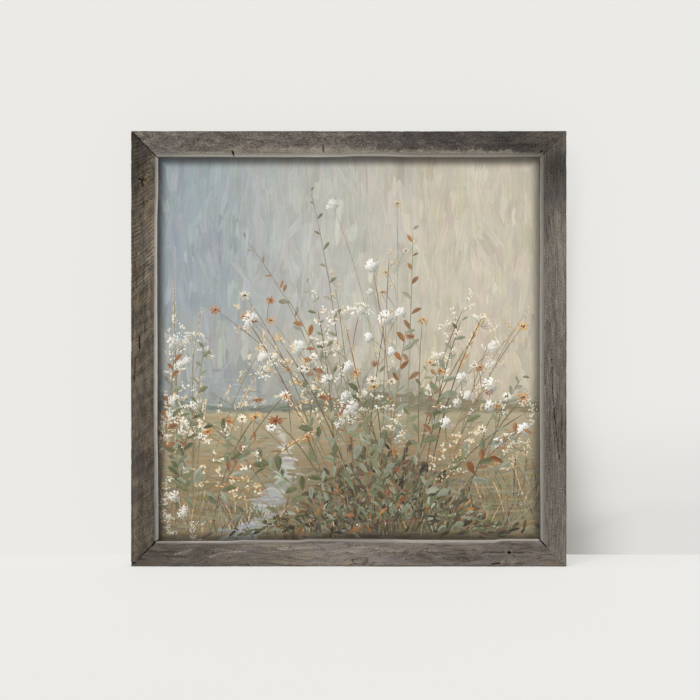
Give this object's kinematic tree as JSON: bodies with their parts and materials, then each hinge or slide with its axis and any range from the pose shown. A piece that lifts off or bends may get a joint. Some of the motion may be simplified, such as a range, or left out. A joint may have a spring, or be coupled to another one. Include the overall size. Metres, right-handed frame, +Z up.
{
  "type": "framed wall picture",
  "caption": "Square wall picture: a painted meadow on canvas in a mitred frame of weathered reclaimed wood, with a sawtooth hanger behind.",
  "frame": {"origin": "where the picture hangs: the middle notch of the sawtooth hanger, on the plane of the wall", "axes": "+Z up, +X to the right as the picture is seen from the front, +Y from the picture into the wall, so the picture faces -Y"},
  "size_m": [0.4064, 0.0252, 0.4064],
  "materials": {
    "barn_wood_brown": "weathered",
    "barn_wood_dark": "weathered",
    "barn_wood_grey": "weathered",
    "barn_wood_light": "weathered",
    "canvas": "painted",
    "hardboard": "matte",
    "steel": "galvanised",
    "brassed_steel": "plated",
    "felt": "fuzzy"
  },
  "bodies": {
    "root": {"rail_left": "barn_wood_brown", "rail_top": "barn_wood_dark", "rail_right": "barn_wood_grey", "rail_bottom": "barn_wood_light", "art_print": "canvas", "backing_board": "hardboard", "framing_point_left_1": "steel", "framing_point_left_2": "steel", "framing_point_left_3": "steel", "framing_point_top_1": "steel", "framing_point_top_2": "steel", "framing_point_top_3": "steel", "framing_point_right_1": "steel", "framing_point_right_2": "steel", "framing_point_right_3": "steel", "framing_point_bottom_1": "steel", "framing_point_bottom_2": "steel", "framing_point_bottom_3": "steel", "wedge_bottom_left_1": "steel", "wedge_bottom_left_2": "steel", "wedge_top_left_1": "steel", "wedge_top_left_2": "steel", "wedge_top_right_1": "steel", "wedge_top_right_2": "steel", "wedge_bottom_right_1": "steel", "wedge_bottom_right_2": "steel", "sawtooth_hanger": "brassed_steel", "hanger_tack_left": "brassed_steel", "hanger_tack_right": "brassed_steel", "bumper_left": "felt", "bumper_right": "felt"}
  },
  "joints": []
}
